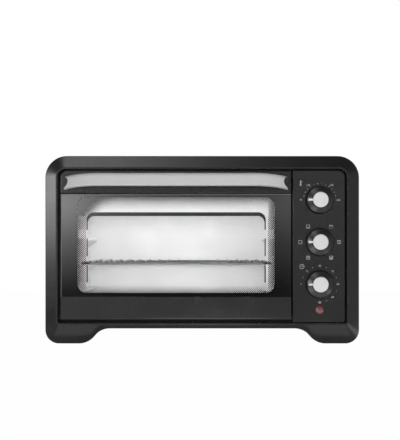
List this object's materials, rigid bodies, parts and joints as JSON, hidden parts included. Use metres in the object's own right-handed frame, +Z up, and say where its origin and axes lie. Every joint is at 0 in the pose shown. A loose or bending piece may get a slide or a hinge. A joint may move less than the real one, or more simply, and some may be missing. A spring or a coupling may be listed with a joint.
{
  "type": "toaster oven",
  "caption": "Countertop toaster oven with a bevelled black front frame on moulded feet, a drop-down glass door with a bow handle, a wire rack and a panel of turning knobs.",
  "frame": {"origin": "on the table, under the centre of the whole oven's bounding box, door shut", "axes": "+X to the right as seen from the front, +Y into the oven, +Z up"},
  "size_m": [0.45, 0.334, 0.269],
  "materials": {
    "frame_black": "satin black moulding with a soft sheen",
    "panel_black": "smooth satin black moulding",
    "rail_black": "satin black moulding",
    "knob_black": "satin black moulding",
    "cap_white": "white moulding with a soft gloss",
    "case_black": "fine-textured black powder coat",
    "chassis_black": "flat black heat-proof paint",
    "zinc_sheet": "galvanised sheet",
    "cavity_steel": "bright aluminised sheet",
    "shield_dark": "dark heat-proof coat",
    "rack_chrome": "bright plated wire",
    "heater_steel": "dull sheathed element",
    "insulator_ceramic": "unglazed white ceramic",
    "plated_steel": "bright zinc plate",
    "door_glass": "clear toughened pane with a black printed border",
    "handle_silver": "satin silver",
    "lens_red": "dark red moulding",
    "control_brown": "brown moulded resin",
    "rubber_black": "matt black rubber"
  },
  "bodies": {
    "oven": {"base_plate": "zinc_sheet", "bracket_screws": "plated_steel", "cavity_back": "cavity_steel", "cavity_ceiling": "cavity_steel", "cavity_floor": "cavity_steel", "cavity_left_wall": "cavity_steel", "cavity_right_wall": "cavity_steel", "control_panel": "panel_black", "control_screws": "plated_steel", "cord_gland": "rubber_black", "foot_screws": "plated_steel", "frame_screws": "plated_steel", "front_frame": "frame_black", "front_plate": "chassis_black", "function_switch": "control_brown", "heater_insulators": "insulator_ceramic", "heater_terminals": "plated_steel", "hinge_bracket_left": "chassis_black", "hinge_bracket_right": "chassis_black", "indicator_holder": "control_brown", "indicator_lens": "lens_red", "lower_heater_front": "heater_steel", "lower_heater_rear": "heater_steel", "mouth_shield": "shield_dark", "outer_case": "case_black", "oven_front": "cavity_steel", "panel_screws": "plated_steel", "rear_cover": "case_black", "rear_foot_left": "rubber_black", "rear_foot_right": "rubber_black", "rear_screws": "plated_steel", "thermostat": "control_brown", "timer": "control_brown", "timer_bell": "plated_steel", "upper_heater_front": "heater_steel", "upper_heater_rear": "heater_steel"},
    "door": {"door_top_rail": "rail_black", "door_bottom_rail": "rail_black", "door_glass": "door_glass", "glass_pads": "rubber_black", "hinge_pin_left": "plated_steel", "hinge_pin_right": "plated_steel", "handle_bar": "handle_silver", "handle_post_left": "rail_black", "handle_post_right": "rail_black", "handle_screws": "plated_steel"},
    "rack": {"wire_rack": "rack_chrome"},
    "temperature_dial": {"temperature_knob": "knob_black", "temperature_cap": "cap_white", "temperature_shaft": "plated_steel"},
    "function_dial": {"function_knob": "knob_black", "function_cap": "cap_white", "function_shaft": "plated_steel"},
    "timer_dial": {"timer_knob": "knob_black", "timer_cap": "cap_white", "timer_shaft": "plated_steel"}
  },
  "joints": [
    {"name": "door_hinge", "type": "hinge", "parent": "oven", "child": "door", "pos_m": [0, -0.131, 0.0372], "axis": [1, 0, 0], "range_deg": [0, 88]},
    {"name": "rack_slide", "type": "slide", "parent": "oven", "child": "rack", "axis": [0, -1, 0], "range_m": [0, 0.095]},
    {"name": "temperature_turn", "type": "hinge", "parent": "oven", "child": "temperature_dial", "pos_m": [0.1678, -0.139, 0.20555], "axis": [0, 1, 0], "range_deg": [0, 180]},
    {"name": "function_turn", "type": "hinge", "parent": "oven", "child": "function_dial", "pos_m": [0.1678, -0.139, 0.1454], "axis": [0, 1, 0], "range_deg": [0, 306]},
    {"name": "timer_turn", "type": "hinge", "parent": "oven", "child": "timer_dial", "pos_m": [0.1678, -0.139, 0.08525], "axis": [0, 1, 0], "range_deg": [0, 270]}
  ],
  "couplings": [
    {"joint": "rack_slide", "follows": "door_hinge", "m_per_rad": 0.06}
  ]
}
